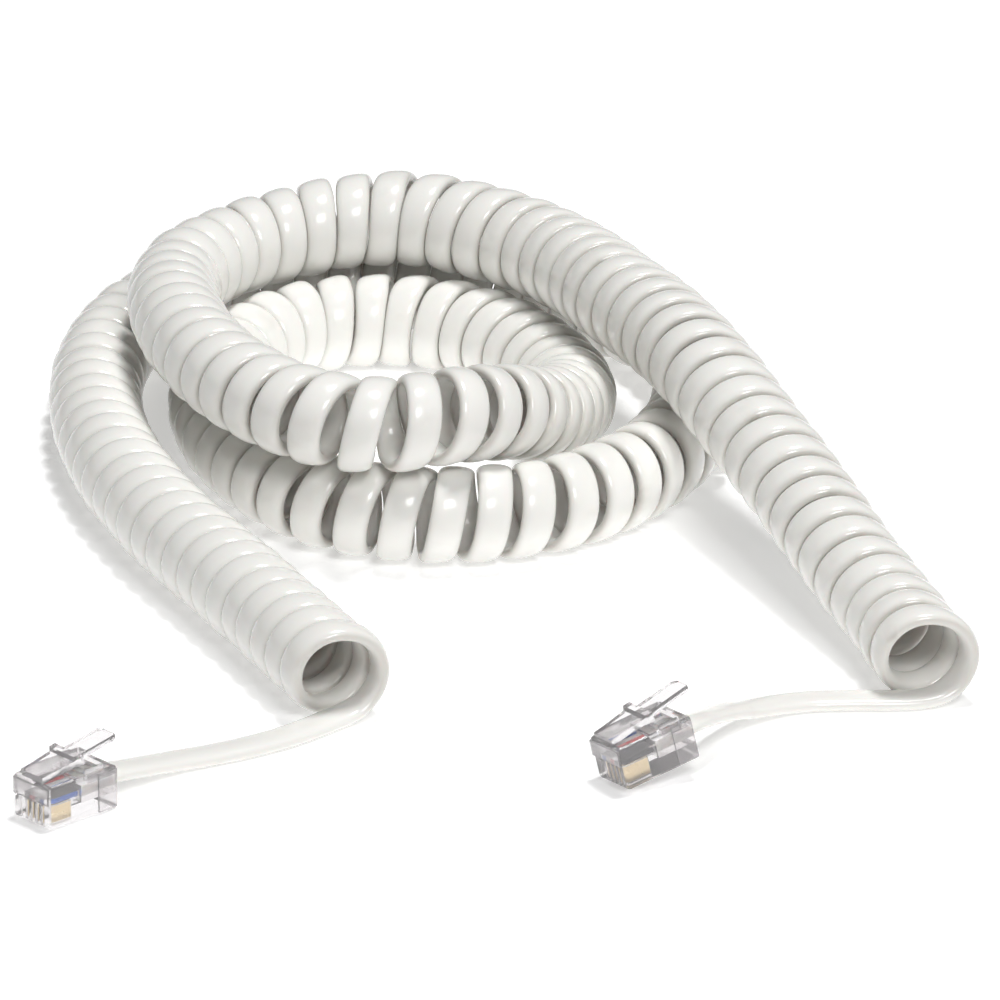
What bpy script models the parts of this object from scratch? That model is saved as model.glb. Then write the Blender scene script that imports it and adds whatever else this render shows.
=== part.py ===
"""Coiled handset cord with a 4-way modular plug on each end, laid in two loops on a flat surface.

Metres, +Z up. The origin is on the surface, under the middle of the whole cord's bounding box.
The coiled stretch is one solid of its outer diameter, and each straight lead is a flat ribbon.
"""

import math

import bmesh
import bpy
from mathutils import Matrix, Vector

# ---- driving dimensions: the cord ----
COIL_DIAMETER = 0.0136  # outside the turns
RIBBON_WIDTH = 0.0050  # the flat cord's long side, along the coil's axis
RIBBON_THICKNESS = 0.0021
COIL_SPACING = 0.0088  # between the points that the coil's solid is drawn through
LEAD_SPACING = 0.0030

# ---- driving dimensions: the 4-way plug ----
PLUG_LENGTH = 0.0117
PLUG_WIDTH = 0.00765
PLUG_HEIGHT = 0.0062
PLUG_EDGE = 0.0004  # bevel along the housing's edges
CABLE_HEIGHT = 0.0034  # middle of the cord above the contact side
JACKET_DEPTH = 0.0056  # how far the cord's jacket goes into the plug
JACKET_CLEARANCE = 0.00018
WAYS = 4
WAY_PITCH = 0.00102
CONDUCTOR_GAP = 0.00012  # between neighbouring conductors
CONDUCTOR_DIAMETER = WAY_PITCH - CONDUCTOR_GAP
CONDUCTOR_CLEARANCE = 0.00008
CONDUCTOR_TIP_WALL = 0.0008  # plastic left in front of the conductors
CONTACT_THICKNESS = 0.00035
CONTACT_LENGTH = 0.0036
CONTACT_SETBACK = 0.0010  # from the nose to the contact's front edge
CONTACT_RECESS = 0.0004  # from the contact side to the contact's bare edge
CONTACT_CLEARANCE = 0.00007
WEDGE_LENGTH = 0.0030
WEDGE_WIDTH = 0.0040
WEDGE_SETBACK = 0.0012  # from the rear face to the wedge
WEDGE_THICKNESS = 0.0011
WEDGE_CLEARANCE = 0.00012
LATCH_GAP = 0.0002  # between the latch's root and the housing
LATCH_THICKNESS = 0.0009
LATCH_ROOT_WIDTH = 0.0044
LATCH_SHOULDER_WIDTH = 0.0058
LATCH_LEVER_WIDTH = 0.0032
LATCH_ANGLE = 10.0  # degrees that the free latch rises towards the rear
LATCH_REACH = 0.0132  # along the latch, from its hinge to its tip
LATCH_SHOULDER_AT = 0.0052  # along the latch, from its hinge
LATCH_HINGE_SETBACK = 0.0006  # from the nose to the hinge line

# ---- where the plugs lie: middle of the rear face on the contact side ----
BASE_PLUG_PLACE = (-0.0529, -0.0857, 0.0)
BASE_PLUG_YAW = 223.0  # degrees, the way the nose points
BASE_PLUG_PITCH = 0.0  # degrees, nose down
BASE_PLUG_ROLL = 0.0  # degrees, left side up
HANDSET_PLUG_PLACE = (0.0255, -0.0753, 0.0026)
HANDSET_PLUG_YAW = 213.0
HANDSET_PLUG_PITCH = 11.0
HANDSET_PLUG_ROLL = 6.0

# ---- the coil's route, from the base end's mouth to the handset end's mouth ----
COIL_ROUTE = (
    (-0.0225, -0.0563, 0.0069),
    (-0.0300, -0.0396, 0.0069),
    (-0.0375, -0.0235, 0.0069),
    (-0.0465, -0.0043, 0.0069),
    (-0.0541, 0.0180, 0.0069),
    (-0.0577, 0.0397, 0.0069),
    (-0.0570, 0.0590, 0.0069),
    (-0.0525, 0.0745, 0.0069),
    (-0.0440, 0.0842, 0.0069),
    (-0.0320, 0.0885, 0.0069),
    (-0.0175, 0.0895, 0.0069),
    (-0.0025, 0.0882, 0.0069),
    (0.0125, 0.0822, 0.0069),
    (0.0235, 0.0711, 0.0069),
    (0.0290, 0.0570, 0.0069),
    (0.0293, 0.0430, 0.0069),
    (0.0266, 0.0280, 0.0069),
    (0.0200, 0.0140, 0.0069),
    (0.0095, 0.0030, 0.0069),
    (-0.0023, -0.0013, 0.0069),
    (-0.0136, -0.0010, 0.0069),
    (-0.0240, 0.0037, 0.0069),
    (-0.0325, 0.0140, 0.0069),
    (-0.0388, 0.0290, 0.0069),
    (-0.0406, 0.0450, 0.0069),
    (-0.0375, 0.0600, 0.0069),
    (-0.0304, 0.0700, 0.0069),
    (-0.0210, 0.0742, 0.0069),
    (-0.0120, 0.0742, 0.0069),
    (-0.0030, 0.0700, 0.0069),
    (0.0048, 0.0609, 0.0069),
    (0.0100, 0.0490, 0.0069),
    (0.0103, 0.0360, 0.0088),
    (0.0070, 0.0215, 0.0130),
    (0.0016, 0.0097, 0.0180),
    (-0.0065, 0.0009, 0.0208),
    (-0.0158, -0.0026, 0.0209),
    (-0.0252, 0.0006, 0.0208),
    (-0.0348, 0.0110, 0.0208),
    (-0.0423, 0.0265, 0.0208),
    (-0.0463, 0.0450, 0.0200),
    (-0.0459, 0.0604, 0.0187),
    (-0.0404, 0.0720, 0.0182),
    (-0.0320, 0.0792, 0.0184),
    (-0.0213, 0.0827, 0.0193),
    (-0.0110, 0.0824, 0.0196),
    (-0.0015, 0.0776, 0.0192),
    (0.0067, 0.0699, 0.0193),
    (0.0132, 0.0585, 0.0200),
    (0.0182, 0.0464, 0.0206),
    (0.0238, 0.0338, 0.0210),
    (0.0296, 0.0194, 0.0203),
    (0.0361, 0.0040, 0.0173),
    (0.0430, -0.0120, 0.0136),
    (0.0494, -0.0277, 0.0099),
    (0.0545, -0.0395, 0.0076),
    (0.0578, -0.0502, 0.0069),
)

# ---- the leads' routes on the surface, from the coil's mouth towards each plug ----
BASE_LEAD_ROUTE = (
    (-0.0206, -0.0597, 0.00105),
    (-0.0238, -0.0629, 0.00105),
    (-0.0280, -0.0669, 0.00105),
    (-0.0330, -0.0704, 0.00105),
    (-0.0385, -0.0735, 0.00110),
    (-0.0430, -0.0763, 0.00150),
    (-0.0473, -0.0803, 0.00240),
)
HANDSET_LEAD_ROUTE = (
    (0.0580, -0.0539, 0.00105),
    (0.0540, -0.0545, 0.00105),
    (0.0485, -0.0545, 0.00105),
    (0.0430, -0.0549, 0.00105),
    (0.0385, -0.0567, 0.00135),
    (0.0345, -0.0604, 0.00230),
    (0.0308, -0.0655, 0.00390),
)
LEAD_ROLL_OUT = 0.0100  # length over which a lead turns from its plug's roll to lying flat
LEAD_RUN_IN = 0.0020  # straight cord in line with the plug, behind its rear face

# ---- finishes: base colour, roughness, metallic, transmission ----
FINISHES = {
    "white_vinyl": ((0.84, 0.84, 0.80), 0.22, 0.0, 0.0),
    "clear_polycarbonate": ((0.90, 0.91, 0.92), 0.10, 0.0, 0.85),
    "gold_plate": ((0.86, 0.70, 0.38), 0.28, 1.0, 0.0),
    "blue_insulation": ((0.03, 0.17, 0.55), 0.35, 0.0, 0.0),
    "white_insulation": ((0.82, 0.82, 0.80), 0.35, 0.0, 0.0),
    "red_insulation": ((0.60, 0.05, 0.05), 0.35, 0.0, 0.0),
    "black_insulation": ((0.03, 0.03, 0.035), 0.35, 0.0, 0.0),
}
CONDUCTOR_COLOURS = ("blue", "white", "red", "black")


def clear_scene():
    for old in list(bpy.data.objects):
        bpy.data.objects.remove(old)


def finish(slot):
    """The Principled material of one finish, made once."""
    made = bpy.data.materials.get(slot)
    if made:
        return made
    colour, roughness, metallic, transmission = FINISHES[slot]
    made = bpy.data.materials.new(slot)
    made.use_nodes = True
    shader = made.node_tree.nodes["Principled BSDF"]
    shader.inputs["Base Color"].default_value = (*colour, 1)
    shader.inputs["Roughness"].default_value = roughness
    shader.inputs["Metallic"].default_value = metallic
    shader.inputs["Transmission Weight"].default_value = transmission
    return made


def add_object(name, data, slot=None, parent=None):
    made = bpy.data.objects.new(name, data)
    bpy.context.scene.collection.objects.link(made)
    made.parent = parent
    if slot:
        data.materials.clear()
        data.materials.append(finish(slot))
    return made


# ---- smooth routes ----


def smooth_line(points, steps=24):
    """A Catmull-Rom curve through the points, as a fine line."""
    knots = [Vector(p) for p in points]
    knots = [2 * knots[0] - knots[1], *knots, 2 * knots[-1] - knots[-2]]
    line = []
    for before, start, end, after in zip(knots, knots[1:], knots[2:], knots[3:]):
        for step in range(steps):
            t = step / steps
            line.append(
                0.5
                * (
                    2 * start
                    + (end - before) * t
                    + (2 * before - 5 * start + 4 * end - after) * t**2
                    + (3 * start - before - 3 * end + after) * t**3
                )
            )
    return [*line, knots[-2]]


def spaced(line, spacing):
    """Points evenly spaced along the line, both ends among them, about spacing apart."""
    along = [0.0]
    for a, b in zip(line, line[1:]):
        along.append(along[-1] + (b - a).length)
    count = max(2, round(along[-1] / spacing))
    points, here = [], 0
    for step in range(count + 1):
        wanted = along[-1] * step / count
        while here < len(line) - 2 and along[here + 1] < wanted:
            here += 1
        share = (wanted - along[here]) / (along[here + 1] - along[here])
        points.append(line[here].lerp(line[here + 1], share))
    return points


def tube(name, points, slot, radius, half_flat=0.0, tilts=None):
    """A capped tube along the points; half_flat widens it into a ribbon that lies flat."""
    data = bpy.data.curves.new(name, "CURVE")
    data.dimensions = "3D"
    data.twist_mode = "Z_UP"
    data.bevel_depth = radius
    data.bevel_resolution = 2 if half_flat else 4
    data.extrude = half_flat
    data.use_fill_caps = True
    spline = data.splines.new("POLY")
    spline.points.add(len(points) - 1)
    for i, (knot, place) in enumerate(zip(spline.points, points)):
        knot.co = (*place, 1)
        knot.tilt = tilts[i] if tilts else 0.0
    return add_object(name, data, slot)


# ---- the plug's solids, in the plug's own frame: nose along +X, latch side up ----


def box_mesh(name, low, high):
    """A box between two corners."""
    low, high = Vector(low), Vector(high)
    shape = bmesh.new()
    bmesh.ops.create_cube(shape, size=1)
    bmesh.ops.scale(shape, vec=high - low, verts=shape.verts)
    bmesh.ops.translate(shape, vec=(low + high) / 2, verts=shape.verts)
    mesh = bpy.data.meshes.new(name)
    shape.to_mesh(mesh)
    shape.free()
    return mesh


def way_offset(way):
    return (way - (WAYS - 1) / 2) * WAY_PITCH


def conductor_end():
    return PLUG_LENGTH - CONDUCTOR_TIP_WALL


def contact_span():
    """The contact's rear and front edge along the plug."""
    front = PLUG_LENGTH - CONTACT_SETBACK
    return front - CONTACT_LENGTH, front


def plug_cutters():
    """Corner pairs of everything that is cut out of the housing."""
    past = 0.001
    middle = CABLE_HEIGHT
    half_wide = RIBBON_WIDTH / 2 + JACKET_CLEARANCE
    half_thick = RIBBON_THICKNESS / 2 + JACKET_CLEARANCE
    cuts = [
        (
            (-past, -half_wide, middle - half_thick),
            (JACKET_DEPTH + JACKET_CLEARANCE, half_wide, middle + half_thick),
        )
    ]
    half_row = way_offset(WAYS - 1) + CONDUCTOR_DIAMETER / 2 + CONDUCTOR_CLEARANCE
    half_core = CONDUCTOR_DIAMETER / 2 + CONDUCTOR_CLEARANCE
    cuts.append(
        (
            (JACKET_DEPTH / 2, -half_row, middle - half_core),
            (conductor_end() + CONDUCTOR_CLEARANCE, half_row, middle + half_core),
        )
    )
    rear, front = contact_span()
    half_slot = CONTACT_THICKNESS / 2 + CONTACT_CLEARANCE
    for way in range(WAYS):
        cuts.append(
            (
                (rear - CONTACT_CLEARANCE, way_offset(way) - half_slot, -past),
                (front + CONTACT_CLEARANCE, way_offset(way) + half_slot, middle),
            )
        )
    cuts.append(
        (
            (WEDGE_SETBACK - WEDGE_CLEARANCE, -WEDGE_WIDTH / 2 - WEDGE_CLEARANCE, middle),
            (
                WEDGE_SETBACK + WEDGE_LENGTH + WEDGE_CLEARANCE,
                WEDGE_WIDTH / 2 + WEDGE_CLEARANCE,
                PLUG_HEIGHT + past,
            ),
        )
    )
    return cuts


def housing_mesh():
    """The clear housing: a bevelled block with its cord, conductor, contact and wedge openings."""
    half = PLUG_WIDTH / 2
    body = add_object(
        "housing_blank",
        box_mesh("housing_blank", (0, -half, 0), (PLUG_LENGTH, half, PLUG_HEIGHT)),
    )
    edge = body.modifiers.new("edges", "BEVEL")
    edge.width = PLUG_EDGE
    edge.segments = 2
    cutters = []
    for number, (low, high) in enumerate(plug_cutters()):
        cutter = add_object(f"cut_{number}", box_mesh(f"cut_{number}", low, high))
        cut = body.modifiers.new(f"cut_{number}", "BOOLEAN")
        cut.operation = "DIFFERENCE"
        cut.solver = "EXACT"
        cut.object = cutter
        cutters.append(cutter)
    bpy.context.view_layer.update()
    evaluated = body.evaluated_get(bpy.context.evaluated_depsgraph_get())
    mesh = bpy.data.meshes.new_from_object(evaluated)
    mesh.name = "plug_housing"
    for used in [body, *cutters]:
        bpy.data.objects.remove(used)
    return mesh


def latch_mesh():
    """The latch along its own +X, from the hinge line: a tongue, two shoulders and a narrow lever."""
    half = LATCH_THICKNESS / 2
    shoulder_end = LATCH_SHOULDER_AT + 0.0012
    stations = (
        (-LATCH_HINGE_SETBACK, LATCH_ROOT_WIDTH, half),
        (0.0010, LATCH_ROOT_WIDTH, half),
        (LATCH_SHOULDER_AT - 0.0004, LATCH_SHOULDER_WIDTH * 0.86, half),
        (LATCH_SHOULDER_AT, LATCH_SHOULDER_WIDTH, half * 1.9),
        (shoulder_end - 0.0002, LATCH_SHOULDER_WIDTH, half * 1.9),
        (shoulder_end, LATCH_LEVER_WIDTH, half),
        (LATCH_REACH - 0.0008, LATCH_LEVER_WIDTH, half),
        (LATCH_REACH, LATCH_LEVER_WIDTH * 0.75, half * 0.6),
    )
    shape = bmesh.new()
    rings = []
    for along, width, above in stations:
        corners = ((-width / 2, -half), (width / 2, -half), (width / 2, above), (-width / 2, above))
        rings.append([shape.verts.new((along, y, z)) for y, z in corners])
    for ring, following in zip(rings, rings[1:]):
        for i in range(4):
            shape.faces.new((ring[i], ring[(i + 1) % 4], following[(i + 1) % 4], following[i]))
    shape.faces.new(rings[0])
    shape.faces.new(rings[-1])
    bmesh.ops.recalc_face_normals(shape, faces=shape.faces)
    mesh = bpy.data.meshes.new("latch")
    shape.to_mesh(mesh)
    shape.free()
    return mesh


def conductor_mesh():
    """One insulated conductor, from the jacket's end to the nose."""
    start = JACKET_DEPTH + 2 * JACKET_CLEARANCE
    length = conductor_end() - start
    shape = bmesh.new()
    bmesh.ops.create_cone(
        shape,
        cap_ends=True,
        segments=12,
        radius1=CONDUCTOR_DIAMETER / 2,
        radius2=CONDUCTOR_DIAMETER / 2,
        depth=length,
        matrix=Matrix.Translation((start + length / 2, 0, CABLE_HEIGHT))
        @ Matrix.Rotation(math.pi / 2, 4, "Y"),
    )
    mesh = bpy.data.meshes.new("conductor")
    shape.to_mesh(mesh)
    shape.free()
    return mesh


def contact_mesh():
    """One gold-plated blade below its conductor."""
    rear, front = contact_span()
    top = CABLE_HEIGHT - CONDUCTOR_DIAMETER / 2 - CONDUCTOR_CLEARANCE
    half = CONTACT_THICKNESS / 2
    return box_mesh("contact", (rear, -half, CONTACT_RECESS), (front, half, top))


def wedge_mesh():
    """The strain-relief bar that is pressed down onto the jacket."""
    bottom = CABLE_HEIGHT + RIBBON_THICKNESS / 2 + WEDGE_CLEARANCE
    return box_mesh(
        "wedge",
        (WEDGE_SETBACK, -WEDGE_WIDTH / 2, bottom),
        (WEDGE_SETBACK + WEDGE_LENGTH, WEDGE_WIDTH / 2, bottom + WEDGE_THICKNESS),
    )


def plug_frame(name, place, yaw, pitch, roll):
    """An empty at the middle of the plug's rear edge on its contact side."""
    frame = add_object(f"{name}_plug", None)
    frame.location = place
    frame.rotation_euler = (math.radians(roll), math.radians(pitch), math.radians(yaw))
    return frame


def add_plug(name, frame, meshes, colours):
    """One plug's pieces on its frame."""
    add_object(f"{name}_plug_housing", meshes["housing"], "clear_polycarbonate", frame)
    hinge = add_object(f"{name}_latch_hinge", None, parent=frame)
    height = PLUG_HEIGHT + LATCH_GAP + LATCH_THICKNESS / 2
    hinge.location = (PLUG_LENGTH - LATCH_HINGE_SETBACK, 0, height)
    hinge.rotation_euler = (0, math.radians(-LATCH_ANGLE), math.pi)
    add_object(f"{name}_plug_latch", meshes["latch"], "clear_polycarbonate", hinge)
    add_object(f"{name}_strain_wedge", meshes["wedge"], "clear_polycarbonate", frame)
    for way, colour in enumerate(colours):
        contact = add_object(
            f"{name}_contact_{way + 1}", meshes["contact"].copy(), "gold_plate", frame
        )
        contact.location.y = way_offset(way)
        conductor = add_object(
            f"{name}_conductor_{colour}", meshes["conductor"].copy(), f"{colour}_insulation", frame
        )
        conductor.location.y = way_offset(way)


def add_lead(name, route, frame):
    """The flat lead, from the coil's mouth to its end inside the plug."""
    bpy.context.view_layer.update()
    into = frame.matrix_world
    ends = [
        into @ Vector((x, 0, CABLE_HEIGHT))
        for x in (-LEAD_RUN_IN, 0, JACKET_DEPTH / 2, JACKET_DEPTH)
    ]
    points = spaced(smooth_line([*route, *ends]), LEAD_SPACING)
    roll = math.asin(into.to_3x3().col[1].z)
    tilts = []
    for point in points:
        before = max(0.0, -(into.inverted() @ point).x - LEAD_RUN_IN)
        tilts.append(math.pi / 2 + roll * (1 - min(1, before / LEAD_ROLL_OUT)))
    half_flat = (RIBBON_WIDTH - RIBBON_THICKNESS) / 2
    return tube(f"{name}_lead", points, "white_vinyl", RIBBON_THICKNESS / 2, half_flat, tilts)


def main():
    clear_scene()
    coil_points = spaced(smooth_line(COIL_ROUTE), COIL_SPACING)
    tube("coiled_cord", coil_points, "white_vinyl", COIL_DIAMETER / 2)
    meshes = {
        "housing": housing_mesh(),
        "latch": latch_mesh(),
        "conductor": conductor_mesh(),
        "contact": contact_mesh(),
        "wedge": wedge_mesh(),
    }
    base = plug_frame("base", BASE_PLUG_PLACE, BASE_PLUG_YAW, BASE_PLUG_PITCH, BASE_PLUG_ROLL)
    handset = plug_frame(
        "handset", HANDSET_PLUG_PLACE, HANDSET_PLUG_YAW, HANDSET_PLUG_PITCH, HANDSET_PLUG_ROLL
    )
    add_plug("base", base, meshes, CONDUCTOR_COLOURS[::-1])
    add_plug("handset", handset, meshes, CONDUCTOR_COLOURS)
    add_lead("base", BASE_LEAD_ROUTE, base)
    add_lead("handset", HANDSET_LEAD_ROUTE, handset)


main()
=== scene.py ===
# %% [markdown]
# # A coiled handset cord
#
# This lesson gives a coiled telephone cord its looks. The real cord is one flat white ribbon of soft
# vinyl with four wires inside. It is wound left-handed into a long coil, and runs straight for a few
# centimetres at each end, where a clear plug with a springy latch is crimped on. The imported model
# already says where everything lies, with one plain tube for the coil. Here the tube becomes the real
# winding, and the plugs get their moulded detail, their metal and their plastic.

# %% The tools and the frame
import math

import bmesh
import bpy
from mathutils import Matrix, Vector, noise


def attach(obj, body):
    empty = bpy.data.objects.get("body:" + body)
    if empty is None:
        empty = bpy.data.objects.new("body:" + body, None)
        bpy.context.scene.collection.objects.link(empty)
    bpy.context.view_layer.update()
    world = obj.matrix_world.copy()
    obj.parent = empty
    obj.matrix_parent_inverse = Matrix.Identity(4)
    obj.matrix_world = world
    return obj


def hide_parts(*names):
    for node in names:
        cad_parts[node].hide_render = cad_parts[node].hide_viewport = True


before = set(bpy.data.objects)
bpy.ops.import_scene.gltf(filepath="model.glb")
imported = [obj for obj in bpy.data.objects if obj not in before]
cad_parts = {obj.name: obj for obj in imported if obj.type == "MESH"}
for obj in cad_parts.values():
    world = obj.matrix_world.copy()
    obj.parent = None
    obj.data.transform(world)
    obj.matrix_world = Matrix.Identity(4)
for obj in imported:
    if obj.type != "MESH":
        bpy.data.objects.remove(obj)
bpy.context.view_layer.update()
mm = 0.001

# %% [markdown]
# ## The camera
#
# The camera comes first, so that every later cell can be looked at from the same place. A long lens
# far away keeps the two loops nearly free of perspective, the way a small thing on a table is usually
# shown. It looks down at 22 degrees, at the middle of the cord.

# %% The camera
LENS_WIDTH = 36 * mm  # the sensor's side
FIELD_WIDTH = 142.9 * mm  # how much of the table the picture spans
CAMERA_DISTANCE = 1.5
CAMERA_ELEVATION = math.radians(22)
AIM = Vector((0.6 * mm, 20.9 * mm, 0))


def add_camera():
    lens = bpy.data.cameras.new("camera")
    lens.sensor_width = LENS_WIDTH / mm
    lens.lens = LENS_WIDTH / mm * CAMERA_DISTANCE / FIELD_WIDTH
    lens.clip_start = 0.1
    camera = bpy.data.objects.new("camera", lens)
    bpy.context.scene.collection.objects.link(camera)
    camera.location = AIM + CAMERA_DISTANCE * Vector(
        (0, -math.cos(CAMERA_ELEVATION), math.sin(CAMERA_ELEVATION))
    )
    camera.rotation_euler = (math.pi / 2 - CAMERA_ELEVATION, 0, 0)
    bpy.context.scene.camera = camera
    return camera


camera = add_camera()
print("lens:", round(camera.data.lens), "mm")

# %% [markdown]
# ## The route
#
# A coil this long never lies where a formula says, so its route is a list of points, the same as the
# imported model's. A smooth curve runs through them. Each lead has a list of its own, one point shorter
# than the model's: at the mouth the winding's last turn takes the first point's place.

# %% The points that the coil and the leads run through
COIL_ROUTE = (
    (-0.0225, -0.0563, 0.0069),
    (-0.0300, -0.0396, 0.0069),
    (-0.0375, -0.0235, 0.0069),
    (-0.0465, -0.0043, 0.0069),
    (-0.0541, 0.0180, 0.0069),
    (-0.0577, 0.0397, 0.0069),
    (-0.0570, 0.0590, 0.0069),
    (-0.0525, 0.0745, 0.0069),
    (-0.0440, 0.0842, 0.0069),
    (-0.0320, 0.0885, 0.0069),
    (-0.0175, 0.0895, 0.0069),
    (-0.0025, 0.0882, 0.0069),
    (0.0125, 0.0822, 0.0069),
    (0.0235, 0.0711, 0.0069),
    (0.0290, 0.0570, 0.0069),
    (0.0293, 0.0430, 0.0069),
    (0.0266, 0.0280, 0.0069),
    (0.0200, 0.0140, 0.0069),
    (0.0095, 0.0030, 0.0069),
    (-0.0023, -0.0013, 0.0069),
    (-0.0136, -0.0010, 0.0069),
    (-0.0240, 0.0037, 0.0069),
    (-0.0325, 0.0140, 0.0069),
    (-0.0388, 0.0290, 0.0069),
    (-0.0406, 0.0450, 0.0069),
    (-0.0375, 0.0600, 0.0069),
    (-0.0304, 0.0700, 0.0069),
    (-0.0210, 0.0742, 0.0069),
    (-0.0120, 0.0742, 0.0069),
    (-0.0030, 0.0700, 0.0069),
    (0.0048, 0.0609, 0.0069),
    (0.0100, 0.0490, 0.0069),
    (0.0103, 0.0360, 0.0088),
    (0.0070, 0.0215, 0.0130),
    (0.0016, 0.0097, 0.0180),
    (-0.0065, 0.0009, 0.0208),
    (-0.0158, -0.0026, 0.0209),
    (-0.0252, 0.0006, 0.0208),
    (-0.0348, 0.0110, 0.0208),
    (-0.0423, 0.0265, 0.0208),
    (-0.0463, 0.0450, 0.0200),
    (-0.0459, 0.0604, 0.0187),
    (-0.0404, 0.0720, 0.0182),
    (-0.0320, 0.0792, 0.0184),
    (-0.0213, 0.0827, 0.0193),
    (-0.0110, 0.0824, 0.0196),
    (-0.0015, 0.0776, 0.0192),
    (0.0067, 0.0699, 0.0193),
    (0.0132, 0.0585, 0.0200),
    (0.0182, 0.0464, 0.0206),
    (0.0238, 0.0338, 0.0210),
    (0.0296, 0.0194, 0.0203),
    (0.0361, 0.0040, 0.0173),
    (0.0430, -0.0120, 0.0136),
    (0.0494, -0.0277, 0.0099),
    (0.0545, -0.0395, 0.0076),
    (0.0578, -0.0502, 0.0069),
)
BASE_LEAD_ROUTE = (
    (-0.0238, -0.0629, 0.00105),
    (-0.0280, -0.0669, 0.00105),
    (-0.0330, -0.0704, 0.00105),
    (-0.0385, -0.0735, 0.00110),
    (-0.0430, -0.0763, 0.00150),
    (-0.0473, -0.0803, 0.00240),
)
HANDSET_LEAD_ROUTE = (
    (0.0540, -0.0545, 0.00105),
    (0.0485, -0.0545, 0.00105),
    (0.0430, -0.0549, 0.00105),
    (0.0385, -0.0567, 0.00135),
    (0.0345, -0.0604, 0.00230),
    (0.0308, -0.0655, 0.00390),
)
print(len(COIL_ROUTE), "points for the coil")

# %% [markdown]
# A Catmull-Rom curve goes through every point it is given, which suits listed points. `spaced`
# then walks along the curve in even steps, because a winding needs to know how far along it is.

# %% A smooth line, evenly stepped
STEP = 0.5 * mm


def smooth_line(points, steps=24):
    """A Catmull-Rom curve through the points, as a fine line."""
    knots = [Vector(p) for p in points]
    knots = [2 * knots[0] - knots[1], *knots, 2 * knots[-1] - knots[-2]]
    line = []
    for before, start, end, after in zip(knots, knots[1:], knots[2:], knots[3:]):
        for step in range(steps):
            t = step / steps
            line.append(
                0.5
                * (
                    2 * start
                    + (end - before) * t
                    + (2 * before - 5 * start + 4 * end - after) * t**2
                    + (3 * start - before - 3 * end + after) * t**3
                )
            )
    return [*line, knots[-2]]


def length_of(line):
    return sum((b - a).length for a, b in zip(line, line[1:]))


def spaced(line, spacing):
    """Points about spacing apart along the line, both ends among them."""
    along = [0.0]
    for a, b in zip(line, line[1:]):
        along.append(along[-1] + (b - a).length)
    count = max(2, round(along[-1] / spacing))
    points, here = [], 0
    for step in range(count + 1):
        wanted = along[-1] * step / count
        while here < len(line) - 2 and along[here + 1] < wanted:
            here += 1
        share = (wanted - along[here]) / (along[here + 1] - along[here])
        points.append(line[here].lerp(line[here + 1], share))
    return points


def softened(values, reach):
    """Each value averaged with its neighbours up to reach steps away."""
    soft = []
    for i in range(len(values)):
        near = values[max(0, i - reach) : i + reach + 1]
        soft.append(sum(near[1:], near[0]) / len(near))
    return soft


coil_line = spaced(smooth_line(COIL_ROUTE), STEP)
print("the coil lies over", round(length_of(coil_line) / mm), "mm of table")

# %% [markdown]
# ## The winding
#
# The ribbon is 5 mm wide and 2.1 mm thick, and its wide side faces out. On a straight stretch the
# turns touch. On a bend they stay together on the inside and fan open on the outside, so the pitch
# follows the route's curvature. The winding is left-handed: going away from you, it turns
# anticlockwise. A loop over small steps adds up the angle, and the whole is scaled a little so that
# the first and the last turn both end at the bottom, where the leads run off along the table.

# %% How the ribbon is wound
RIBBON_WIDTH = 5.0 * mm
RIBBON_THICKNESS = 2.1 * mm
COIL_DIAMETER = 13.6 * mm
WINDING_RADIUS = (COIL_DIAMETER - RIBBON_THICKNESS) / 2
CLOSED_PITCH = 5.15 * mm
BEND_OPENING = 0.22  # how much the pitch grows with the bend
RUN_OUT = 3.9 * mm  # how far before the coil's solid the last turn meets the table
TURN_STEPS = 44
TOP_BULGE = 0.17  # how far the free last turn springs outwards, as a share of the radius
WANDER = 0.15 * mm  # how unevenly the turns' radius comes out
# how much wider the coil is than at its ends, at some shares of its length
GIRTH = ((0, 1.0), (0.76, 1.0), (0.82, 1.05), (0.88, 1.06), (0.95, 1.02), (1, 1.0))


def route_frames(line):
    """At each point of the line: place, direction, side to its right, up, and the bend's vector."""
    tangents = [
        (line[min(i + 1, len(line) - 1)] - line[max(i - 1, 0)]).normalized()
        for i in range(len(line))
    ]
    tangents = [t.normalized() for t in softened(tangents, 3)]
    bends = [Vector() for _ in line]
    for i in range(1, len(line) - 1):
        bends[i] = (tangents[i + 1] - tangents[i - 1]) / (line[i + 1] - line[i - 1]).length
    bends = softened(bends, 8)
    frames = []
    for place, tangent, bend in zip(line, tangents, bends):
        up = (Vector((0, 0, 1)) - tangent * tangent.z).normalized()
        frames.append((place, tangent, tangent.cross(up), up, bend))
    return frames


def extended(line, extra):
    """The line with a straight run added at both ends."""
    start = (line[0] - line[4]).normalized()
    end = (line[-1] - line[-5]).normalized()
    count = round(extra / STEP)
    before = [line[0] + start * STEP * (count - i) for i in range(count)]
    after = [line[-1] + end * STEP * (i + 1) for i in range(count)]
    return [*before, *line, *after]


frames = route_frames(extended(coil_line, RUN_OUT))


def local_pitch(bend):
    return CLOSED_PITCH * (1 + BEND_OPENING * min(0.5, bend.length * COIL_DIAMETER / 2) * 2)


turns_at = [0.0]
for here, ahead in zip(frames, frames[1:]):
    step = (ahead[0] - here[0]).length
    turns_at.append(turns_at[-1] + step / local_pitch(here[4]))
TURNS = round(turns_at[-1])
turns_at = [t * TURNS / turns_at[-1] for t in turns_at]
print("turns:", TURNS)


def between(a, b, share):
    return a + (b - a) * share


def girth(share):
    """How much wider the coil is than at its ends, at this share of its length."""
    for (start, a), (end, b) in zip(GIRTH, GIRTH[1:]):
        if share <= end:
            t = (share - start) / (end - start)
            return a + (b - a) * t * t * (3 - 2 * t)
    return GIRTH[-1][1]


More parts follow.
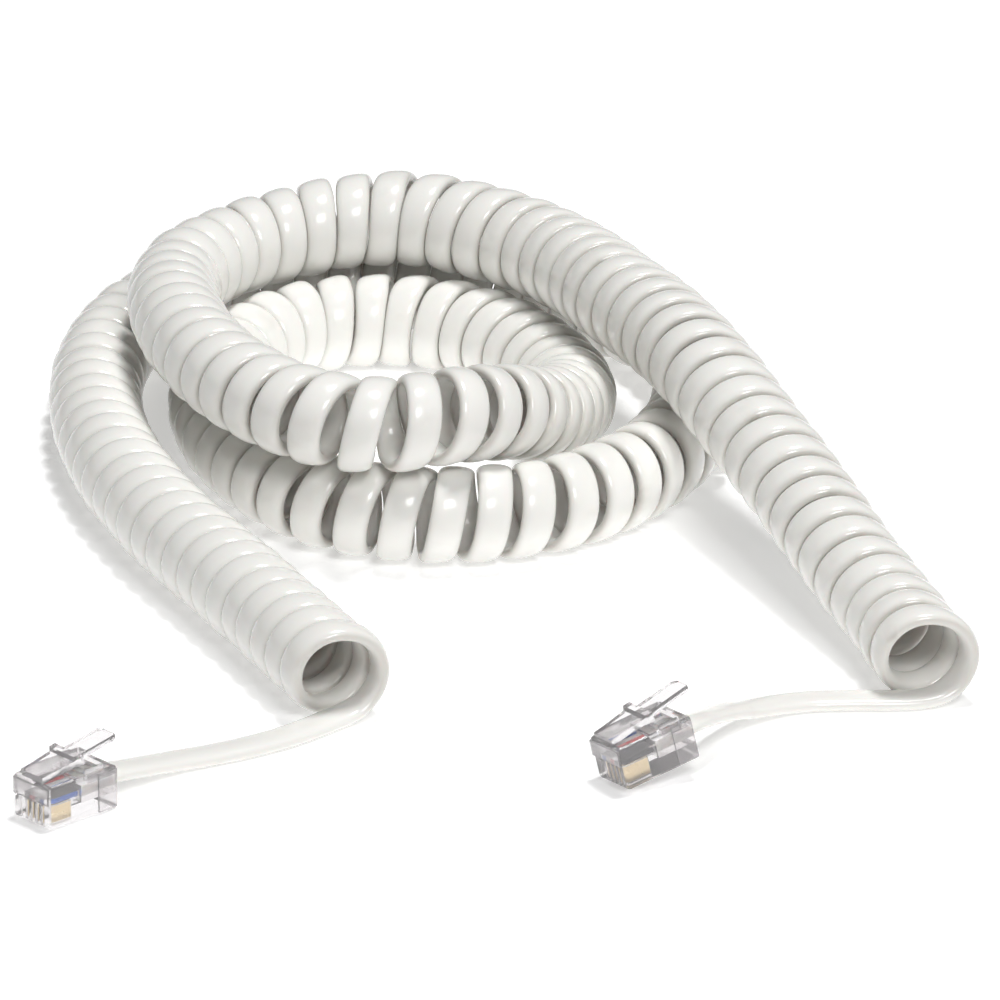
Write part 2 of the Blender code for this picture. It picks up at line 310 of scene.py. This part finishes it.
def winding():
    """The ribbon's centreline through the coil: for each step its place, outward side and bend squeeze."""
    path, here = [], 0
    for step in range(TURNS * TURN_STEPS + 1):
        turn = step / TURN_STEPS
        while here < len(turns_at) - 2 and turns_at[here + 1] < turn:
            here += 1
        share = (turn - turns_at[here]) / (turns_at[here + 1] - turns_at[here])
        place, tangent, side, up, bend = (
            between(a, b, share) for a, b in zip(frames[here], frames[here + 1])
        )
        angle = math.pi - 2 * math.pi * turn
        outward = side * math.sin(angle) + up * math.cos(angle)
        from_end = min(turn, TURNS - turn)
        bulge = TOP_BULGE * math.sin(2 * math.pi * from_end) ** 2 if from_end < 0.5 else 0.0
        wander = noise.noise(Vector((turn * 0.9, 3.1, 0.7))) * WANDER
        wander *= min(1, from_end)
        wide = (girth(turn / TURNS) - 1) * COIL_DIAMETER / 2
        radius = WINDING_RADIUS * (1 + bulge) + wide + wander
        place = place + Vector((0, 0, wide))
        local = local_pitch(bend) * (1 - bend.dot(outward) * radius)
        path.append((place + outward * radius, outward.normalized(), local, turn))
    return path


coil_path = winding()
print("ribbon in the coil:", round(length_of([p[0] for p in coil_path]), 2), "m")

# %% [markdown]
# ## The plugs' places
#
# Everything on a plug is made in the plug's own directions and then carried to where the packed
# model has it. The housing's own box isn't enough for a plug that lies askew, so the place is
# repeated from the model: the middle of the rear face's lower edge, and three angles.

# %% Where the plugs lie
PLUG_LENGTH = 11.7 * mm
PLUG_WIDTH = 7.65 * mm
PLUG_HEIGHT = 6.2 * mm
CABLE_HEIGHT = 3.4 * mm
JACKET_DEPTH = 5.6 * mm
LEAD_RUN_IN = 2.0 * mm
LEAD_ROLL_OUT = 10 * mm  # length over which a lead turns from its plug's roll to lying flat


def plug_place(place, yaw, pitch, roll):
    turn = (
        Matrix.Rotation(math.radians(yaw), 4, "Z")
        @ Matrix.Rotation(math.radians(pitch), 4, "Y")
        @ Matrix.Rotation(math.radians(roll), 4, "X")
    )
    return Matrix.Translation(place) @ turn


PLUGS = {
    "base": plug_place((-0.0529, -0.0857, 0.0), 223, 0, 0),
    "handset": plug_place((0.0255, -0.0753, 0.0026), 213, 11, 6),
}
print("plugs:", ", ".join(PLUGS))

# %% [markdown]
# ## One ribbon from plug to plug
#
# The real cord is one piece, so the visible one is too: a lead, the winding and the other lead,
# joined into one line. Where a lead leaves the coil the joined line is averaged with its neighbours,
# which rounds the corner as the stiff vinyl does.

# %% The whole cord's centreline
LEAD_PITCH = 10 * mm  # stands for a stretch that has no neighbouring turn
BLEND = 9  # a join is averaged from three times this many steps before it to twice as many after


def lead_line(name, route, mouth):
    """From inside the plug to the coil's mouth, mouth being the winding's first few points."""
    into = PLUGS[name]
    inside = [
        into @ Vector((x, 0, CABLE_HEIGHT))
        for x in (JACKET_DEPTH, -LEAD_RUN_IN / 2)
    ]
    knots = [*inside, *[Vector(p) for p in route[::-1]], *mouth]
    return spaced(smooth_line(knots), STEP)


def blended(values, low, high):
    """The values averaged with their neighbours between two places, fading in and out."""
    values = list(values)
    for _ in range(2):
        soft = softened(values, 4)
        for i in range(low, high):
            fade = math.sin(math.pi * (i - low) / (high - low)) ** 2
            values[i] = between(values[i], soft[i], fade)
    return values


def cord_line():
    """The cord's centreline as places and outward sides, from the base's plug to the handset's."""
    places = [p for p, _, _, _ in coil_path]
    sides = [n for _, n, _, _ in coil_path]
    pitches = [w for _, _, w, _ in coil_path]
    down = Vector((0, 0, -1))
    for name, route in (("base", BASE_LEAD_ROUTE), ("handset", HANDSET_LEAD_ROUTE)):
        if name == "handset":
            places, sides, pitches = places[::-1], sides[::-1], pitches[::-1]
        lead = lead_line(name, route, places[0:9:4])
        cut = min(range(len(lead)), key=lambda i: (lead[i] - places[4]).length)
        lead = lead[:cut]
        plug_down = (PLUGS[name].to_3x3() @ down).normalized()
        lead_sides = []
        for p in lead:
            behind = max(0.0, -(PLUGS[name].inverted() @ p).x - LEAD_RUN_IN)
            share = min(1, behind / LEAD_ROLL_OUT)
            lead_sides.append(plug_down.lerp(down, share).normalized())
        joined = len(lead)
        places = [*lead, *places[4:]]
        sides = [*lead_sides, *sides[4:]]
        pitches = [LEAD_PITCH] * joined + pitches[4:]
        low, high = joined - 3 * BLEND, joined + 2 * BLEND
        places, sides, pitches = (blended(v, low, high) for v in (places, sides, pitches))
    return places[::-1], sides[::-1], pitches[::-1]


cord_places, cord_sides, cord_pitches = cord_line()
CORD_LENGTH = length_of(cord_places)
print("the whole cord, unwound:", round(CORD_LENGTH, 2), "m")

# %% [markdown]
# The ribbon's cross-section is a soft oblong: flat enough to lie on a table, and crowned enough that
# every turn catches its own highlight and leaves a deep groove beside it. A superellipse gives that
# shape from one exponent, where 2 is an ellipse and a large number a box. On the inside of a bend the
# turns press together, so the ribbon is drawn a little narrower there, down to what the pitch leaves.

# %% The ribbon's mesh
SECTION_POINTS = 22
SECTION_POWER = 2.4
NARROWEST = 0.74  # of the full width
SQUEEZE_GAP = 0.16 * mm
LEAN = math.radians(5)  # how far each turn leans towards the next, like a roof tile
UNEVEN = math.radians(7)
LOOSE_PITCH = 7 * mm  # a pitch above this counts as less and less wound
LOOSE_FADE = 2 * mm


def ribbon_section():
    """Points around the cross-section: across the ribbon, and outwards."""
    points = []
    for i in range(SECTION_POINTS):
        a = 2 * math.pi * (i + 0.5) / SECTION_POINTS
        x = math.copysign(abs(math.cos(a)) ** (2 / SECTION_POWER), math.cos(a))
        y = math.copysign(abs(math.sin(a)) ** (2 / SECTION_POWER), math.sin(a))
        # the third value masks the shade painted into the grooves: 0 on the crown, 1 at the edges
        points.append((x * RIBBON_WIDTH / 2, y * RIBBON_THICKNESS / 2, abs(x) ** 7))
    return points


def new_piece(name, shape, smooth=True):
    mesh = bpy.data.meshes.new(name)
    shape.to_mesh(mesh)
    shape.free()
    for face in mesh.polygons:
        face.use_smooth = smooth
    made = bpy.data.objects.new(name, mesh)
    bpy.context.scene.collection.objects.link(made)
    return made


def ribbon(name, places, sides, pitches):
    """A closed ribbon mesh that knows how near each of its points is to a groove, for the shade painted
    there.
    """
    section = ribbon_section()
    shape = bmesh.new()
    groove = shape.verts.layers.float.new("groove")
    rings = []
    for i, (place, side, pitch) in enumerate(zip(places, sides, pitches)):
        along = places[min(i + 1, len(places) - 1)] - places[max(i - 1, 0)]
        across = along.cross(side).normalized()
        outward = across.cross(along).normalized()
        wound = max(0.0, 1 - max(0.0, pitch - LOOSE_PITCH) / LOOSE_FADE)
        turn = LEAN + noise.noise(Vector((i / TURN_STEPS * 0.8, 0.3, 5.0))) * UNEVEN
        turn *= wound
        across, outward = (
            across * math.cos(turn) + outward * math.sin(turn),
            outward * math.cos(turn) - across * math.sin(turn),
        )
        width = min(1, max(NARROWEST, (pitch - SQUEEZE_GAP) / RIBBON_WIDTH))
        ring = []
        for x, y, edge in section:
            ring.append(shape.verts.new(place + across * x * width + outward * y))
            # painted shade: how strongly the finish darkens this point for lying in a groove
            ring[-1][groove] = edge * wound
        rings.append(ring)
    for ring, following in zip(rings, rings[1:]):
        for j in range(len(section)):
            k = (j + 1) % len(section)
            shape.faces.new((ring[j], following[j], following[k], ring[k]))
    shape.faces.new(rings[0])
    shape.faces.new(rings[-1][::-1])
    bmesh.ops.recalc_face_normals(shape, faces=shape.faces)
    return new_piece(name, shape)


cord = ribbon("curly_cord", cord_places, cord_sides, cord_pitches)
print("the cord's mesh:", len(cord.data.polygons), "faces")

# %% [markdown]
# ## Shader maths
#
# Materials are easier to read as sums than as chains of boxes. `Maths` wraps a socket, so that
# `1 - mask * 0.3` adds the Math nodes that work it out.

# %% A socket that can be reckoned with


class Maths:
    """A socket in a material's node tree, with operators that add Math nodes."""

    def __init__(self, tree, socket):
        self.tree = tree
        self.socket = socket

    def step(self, operation, a, b=None):
        made = self.tree.nodes.new("ShaderNodeMath")
        made.operation = operation
        for into, value in zip(made.inputs, (a, b)):
            if isinstance(value, Maths):
                self.tree.links.new(value.socket, into)
            elif value is not None:
                into.default_value = value
        return Maths(self.tree, made.outputs[0])

    def __add__(self, other):
        return self.step("ADD", self, other)

    def __sub__(self, other):
        return self.step("SUBTRACT", self, other)

    def __rsub__(self, other):
        return self.step("SUBTRACT", other, self)

    def __mul__(self, other):
        return self.step("MULTIPLY", self, other)

    __radd__ = __add__
    __rmul__ = __mul__


class Finish:
    """A new material, its Principled shader, and one method for every other node."""

    def __init__(self, name, **settings):
        self.material = bpy.data.materials.new(name)
        self.material.use_nodes = True
        self.tree = self.material.node_tree
        self.shader = self.tree.nodes["Principled BSDF"]
        for socket, value in settings.items():
            self.set(socket.replace("_", " "), value)

    def set(self, socket, value):
        into = self.shader.inputs[socket]
        if isinstance(value, Maths):
            self.tree.links.new(value.socket, into)
        elif isinstance(value, tuple):
            into.default_value = (*value, 1)[:4]
        else:
            into.default_value = value

    def node(self, kind, output=0, settings=None, stops=None, **sockets):
        """A node of this kind; settings and a ramp's stops go in before its sockets' values or links."""
        made = self.tree.nodes.new(f"ShaderNode{kind}")
        for name, value in (settings or {}).items():
            setattr(made, name, value)
        if stops:
            ramp = made.color_ramp.elements
            for element, (place, colour) in zip((ramp[0], ramp[1]), stops):
                element.position, element.color = place, (*colour, 1)
            for place, colour in stops[2:]:
                ramp.new(place).color = (*colour, 1)
        for name, value in sockets.items():
            into = made.inputs[int(name[1:])] if name[1:].isdigit() else made.inputs[name]
            if isinstance(value, Maths):
                self.tree.links.new(value.socket, into)
            else:
                into.default_value = value
        return Maths(self.tree, made.outputs[output])

    def between(self, mask, one, other):
        """A colour that goes from one to the other as the mask goes from 0 to 1."""
        return self.node(
            "Mix",
            output=2,
            settings={"data_type": "RGBA"},
            Factor=mask,
            _6=one if isinstance(one, Maths) else (*one, 1),
            _7=other if isinstance(other, Maths) else (*other, 1),
        )

    def noise(self, scale, detail=3.0):
        place = self.node("TexCoord", output=3)
        return self.node("TexNoise", Vector=place, Scale=scale, Detail=detail)

    def bump(self, height, depth, strength=1.0):
        self.set("Normal", self.node("Bump", Height=height, Distance=depth, Strength=strength))


# %% [markdown]
# ## White vinyl
#
# The jacket is soft white PVC: glossy, very slightly warm, and scuffed to a duller shine here and
# there. A fine waviness in the surface breaks up the reflections. Shade is painted into the colour
# towards the ribbon's edges, in the grooves between turns, deepest where the flecks of grime lie.

# %% The cord's finish
VINYL = (0.87, 0.862, 0.828)
# the colour of the grime flecks, and also of the shade painted into the grooves
GRIME_AND_GROOVE_SHADE = (0.52, 0.50, 0.45)


def white_vinyl():
    finish = Finish("white vinyl jacket", Subsurface_Weight=0.08, Subsurface_Scale=2 * mm)
    dirt = finish.noise(160, 5)
    dirt = finish.node(
        "ValToRGB", Fac=dirt, stops=((0.62, (0, 0, 0)), (0.78, (1, 1, 1)))
    )
    groove = finish.node("Attribute", output="Fac", settings={"attribute_name": "groove"})
    # painted shade towards the ribbon's edges, in the grooves, plus grime flecked by noise
    grime_and_groove_shade = groove * (0.5 + dirt * 0.4) + dirt * 0.16
    finish.set("Base Color", finish.between(grime_and_groove_shade, VINYL, GRIME_AND_GROOVE_SHADE))
    finish.set("Roughness", finish.noise(420, 4) * 0.12 + 0.12)
    finish.bump(finish.noise(260, 2), 0.06 * mm, 0.35)
    return finish.material


def dress(piece, *materials):
    piece.data.materials.clear()
    for material in materials:
        piece.data.materials.append(material)


dress(cord, white_vinyl())
print("the cord wears", cord.data.materials[0].name)

# %% [markdown]
# ## The plugs' materials
#
# Each plug has four kinds of surface. The housing, the latch and the strain wedge are moulded in clear
# polycarbonate. As glass it would go dark wherever it mirrors an unlit part of the room, so its index is
# set below the real 1.58 and a little plain diffuse is left in: that gives the milky, faintly pink look
# of a cheap moulding and lets the white jacket inside be seen. The contacts are gold over nickel,
# unevenly polished by crimping. The conductors' insulation is satin, a flat colour with a shine that
# varies, and the colour order on the base's plug is the reverse of the handset's.

# %% Clear plastic, metal and insulation


def clear_polycarbonate():
    finish = Finish("clear polycarbonate")
    finish.set("Base Color", (0.97, 0.953, 0.958))
    finish.set("Roughness", 0.04)
    finish.set("IOR", 1.30)
    finish.set("Transmission Weight", 0.87)
    finish.bump(finish.noise(500, 2), 0.02 * mm, 0.4)
    return finish.material


def gold_plate():
    finish = Finish("gold-plated contact", Metallic=1.0)
    worn = finish.noise(900, 3)
    finish.set("Base Color", finish.between(worn, (0.90, 0.74, 0.42), (0.80, 0.66, 0.42)))
    finish.set("Roughness", worn * 0.2 + 0.2)
    return finish.material


def insulation(name, colour):
    finish = Finish(f"{name} insulation")
    finish.set("Base Color", colour)
    finish.set("Roughness", finish.noise(700, 3) * 0.15 + 0.3)
    return finish.material


INSULATION = {
    "blue": (0.02, 0.16, 0.70),
    "white": (0.82, 0.82, 0.80),
    "red": (0.72, 0.03, 0.04),
    "black": (0.02, 0.02, 0.025),
}
clear = clear_polycarbonate()
gold = gold_plate()
wires = {name: insulation(name, colour) for name, colour in INSULATION.items()}
for name in PLUGS:
    for part in ("plug_housing", "plug_latch", "strain_wedge"):
        dress(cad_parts[f"{name}_{part}"], clear)
    for way in range(4):
        dress(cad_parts[f"{name}_contact_{way + 1}"], gold)
    for colour, material in wires.items():
        dress(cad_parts[f"{name}_conductor_{colour}"], material)

print("plug materials:", clear.name, gold.name, *(wire.name for wire in wires.values()), sep=", ")

# %% [markdown]
# ## Small shapes on the plugs
#
# A moulded plug isn't a plain block. Its rear third is a little wider, where the tool's anvil holds it
# for crimping, a brow hangs over the nose, and thin ribs stand between the contact slots so that they
# can't touch each other. Each is a bevelled box in the plug's own directions. The latch gets a rounded
# edge from a Bevel modifier, since a moulded lever has no sharp ones.

# %% Flanks, brow and comb ribs
ROOT = "cord_and_plugs"  # the body that doesn't move
FLANK = 0.28 * mm  # how far the rear third stands out
WAY_PITCH = 1.02 * mm


def bevelled_box(shape, low, high, edge=0.12 * mm):
    """One bevelled box, added to the shape."""
    low, high = Vector(low), Vector(high)
    made = bmesh.ops.create_cube(shape, size=1)["verts"]
    bmesh.ops.scale(shape, vec=high - low, verts=made)
    bmesh.ops.translate(shape, vec=(low + high) / 2, verts=made)
    edges = list({e for v in made for e in v.link_edges})
    bmesh.ops.bevel(shape, geom=edges, offset=edge, segments=2, affect="EDGES")


def plug_trim(name):
    """The flanks, brow and ribs of one plug."""
    shape = bmesh.new()
    half = PLUG_WIDTH / 2
    for side in (-1, 1):
        low, high = sorted((side * (half + 0.02 * mm), side * (half + FLANK)))
        bevelled_box(shape, (0.2 * mm, low, 0.3 * mm), (3.6 * mm, high, PLUG_HEIGHT - 0.2 * mm))
    front = PLUG_LENGTH + 0.02 * mm
    bevelled_box(
        shape, (front, -half * 0.94, 3.5 * mm), (front + 0.35 * mm, half * 0.94, PLUG_HEIGHT - 0.3 * mm)
    )
    for rib in range(5):
        y = (rib - 2) * WAY_PITCH
        bevelled_box(
            shape, (front, y - 0.17 * mm, 0.5 * mm), (front + 0.25 * mm, y + 0.17 * mm, 3.3 * mm), 0.08 * mm
        )
    made = new_piece(f"{name}_plug_trim", shape, smooth=False)
    made.matrix_world = PLUGS[name]
    dress(made, clear)
    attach(made, ROOT)
    return made


for name in PLUGS:
    plug_trim(name)
    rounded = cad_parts[f"{name}_plug_latch"].modifiers.new("rounded edges", "BEVEL")
    rounded.width = 0.22 * mm
    rounded.segments = 3
print("trim on", len(PLUGS), "plugs")

# %% [markdown]
# ## Table and light
#
# A white object on a white table is drawn by its shadows. A small lamp almost overhead gives every turn
# its own spot of shine, and a box in front lights the near sides just as brightly. There is hardly any
# sky, so what neither of them reaches, the grooves and the inside of the coil, goes dark. The table
# glows a little, so that it stays white and the shadows on it stay faint.

# %% The table and the lights


def add_table():
    shape = bmesh.new()
    bmesh.ops.create_grid(shape, x_segments=1, y_segments=1, size=3)
    table = new_piece("table", shape, smooth=False)
    finish = Finish("white table")
    finish.set("Base Color", (0.92, 0.92, 0.92))
    finish.set("Roughness", 0.6)
    finish.set("Emission Color", (1, 1, 1))
    finish.set("Emission Strength", 0.32)
    dress(table, finish.material)
    return table


def add_light(name, place, size, power, aim=AIM):
    lamp = bpy.data.lights.new(name, "AREA")
    lamp.shape = "SQUARE"
    lamp.size = size
    lamp.energy = power
    made = bpy.data.objects.new(name, lamp)
    bpy.context.scene.collection.objects.link(made)
    made.location = place
    made.rotation_euler = (Vector(place) - aim).to_track_quat("Z", "Y").to_euler()


table = add_table()
add_light("lamp above", (0.12, 0.10, 1.0), 0.22, 7.0)
add_light("soft box in front", (0.30, -1.0, 1.05), 0.45, 9.7)
sky = bpy.data.worlds.new("studio")
bpy.context.scene.world = sky
sky.use_nodes = True
sky.node_tree.nodes["Background"].inputs["Color"].default_value = (1, 1, 1, 1)
sky.node_tree.nodes["Background"].inputs["Strength"].default_value = 0.05
bpy.context.scene.view_settings.view_transform = "Standard"
print("lights:", [light.name for light in bpy.data.lights])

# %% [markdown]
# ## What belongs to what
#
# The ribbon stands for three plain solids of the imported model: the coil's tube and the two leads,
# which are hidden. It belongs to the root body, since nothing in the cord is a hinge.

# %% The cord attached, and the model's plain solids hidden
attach(cord, ROOT)
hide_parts("coiled_cord", "base_lead", "handset_lead")
